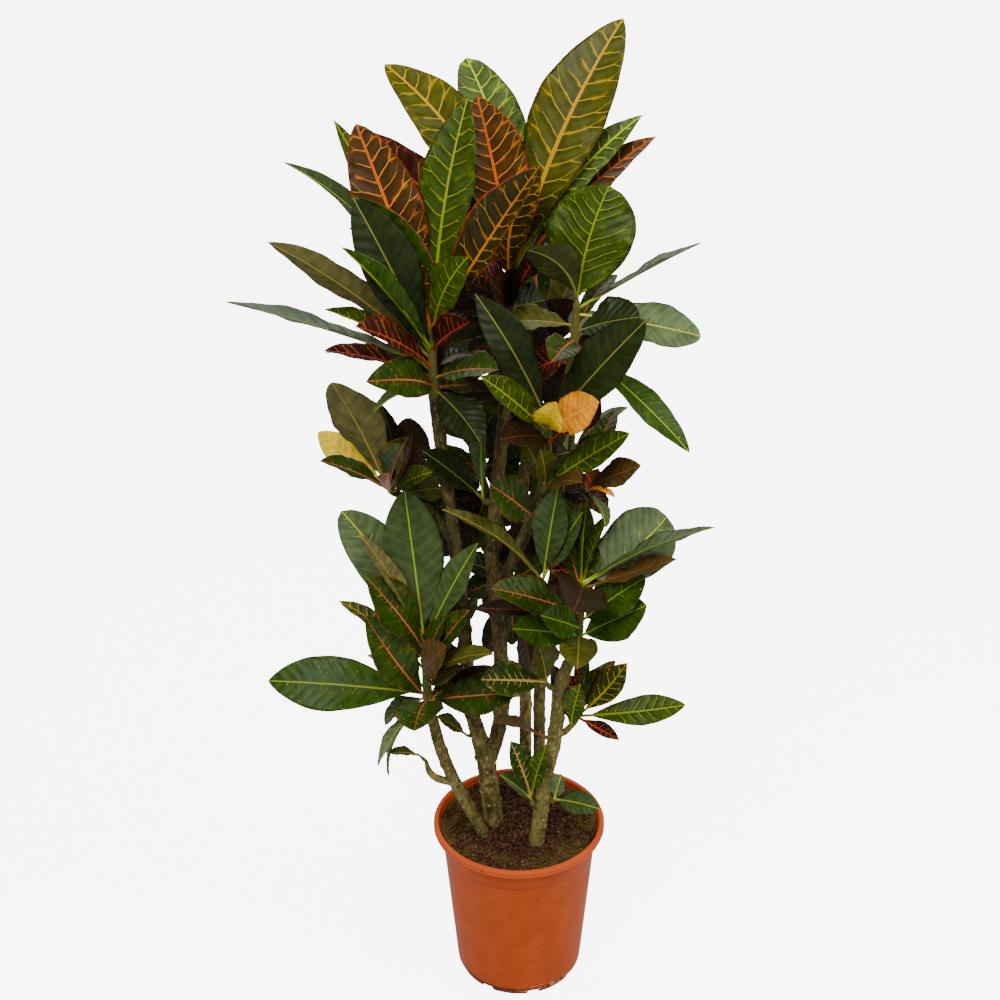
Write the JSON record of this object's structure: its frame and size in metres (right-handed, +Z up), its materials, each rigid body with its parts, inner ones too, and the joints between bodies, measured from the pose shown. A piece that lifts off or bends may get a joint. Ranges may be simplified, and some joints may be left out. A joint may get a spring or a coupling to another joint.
{
  "type": "potted croton",
  "caption": "Bushy upright croton houseplant with broad mottled leaves on bare woody canes, standing in a plain round plastic nursery pot filled with soil.",
  "frame": {"origin": "centre of the flat underside of the pot, on the pot's axis", "axes": "+Z up along the pot's axis; -Y towards the front, the side of the pictured view; +X to the viewer's right"},
  "size_m": [0.515, 0.3781, 1.15],
  "materials": {
    "pot": "terracotta-coloured moulded plastic, satin",
    "soil": "dark peat potting soil with pale flecks",
    "bark": "grey-brown bark with pale pores and leaf scars",
    "leaf": "leathery blades, green to maroon, with yellow, orange and pink veins"
  },
  "bodies": {
    "root": {"low_left_shoot": "leaf", "twig_shoot": "leaf", "left_crown_shoot": "leaf", "top_shoot": "leaf", "right_crown_shoot": "leaf", "centre_shoot": "leaf", "inner_shoot": "leaf", "branch_leaf": "leaf", "inner_left_shoot": "leaf", "right_mid_shoot": "leaf", "low_inner_shoot": "leaf", "left_mid_shoot": "leaf", "trunk_leaf": "leaf", "low_right_shoot": "leaf", "right_side_shoot": "leaf", "low_centre_shoot": "leaf", "lone_leaf": "leaf", "base_shoot": "leaf", "base_right_shoot": "leaf", "back_crown_shoot": "leaf", "back_left_shoot": "leaf", "back_low_shoot": "leaf", "back_mid_shoot": "leaf", "left_cane": "bark", "middle_cane": "bark", "right_cane": "bark", "back_cane": "bark", "far_cane": "bark", "soil": "soil", "pot": "pot"}
  },
  "joints": []
}
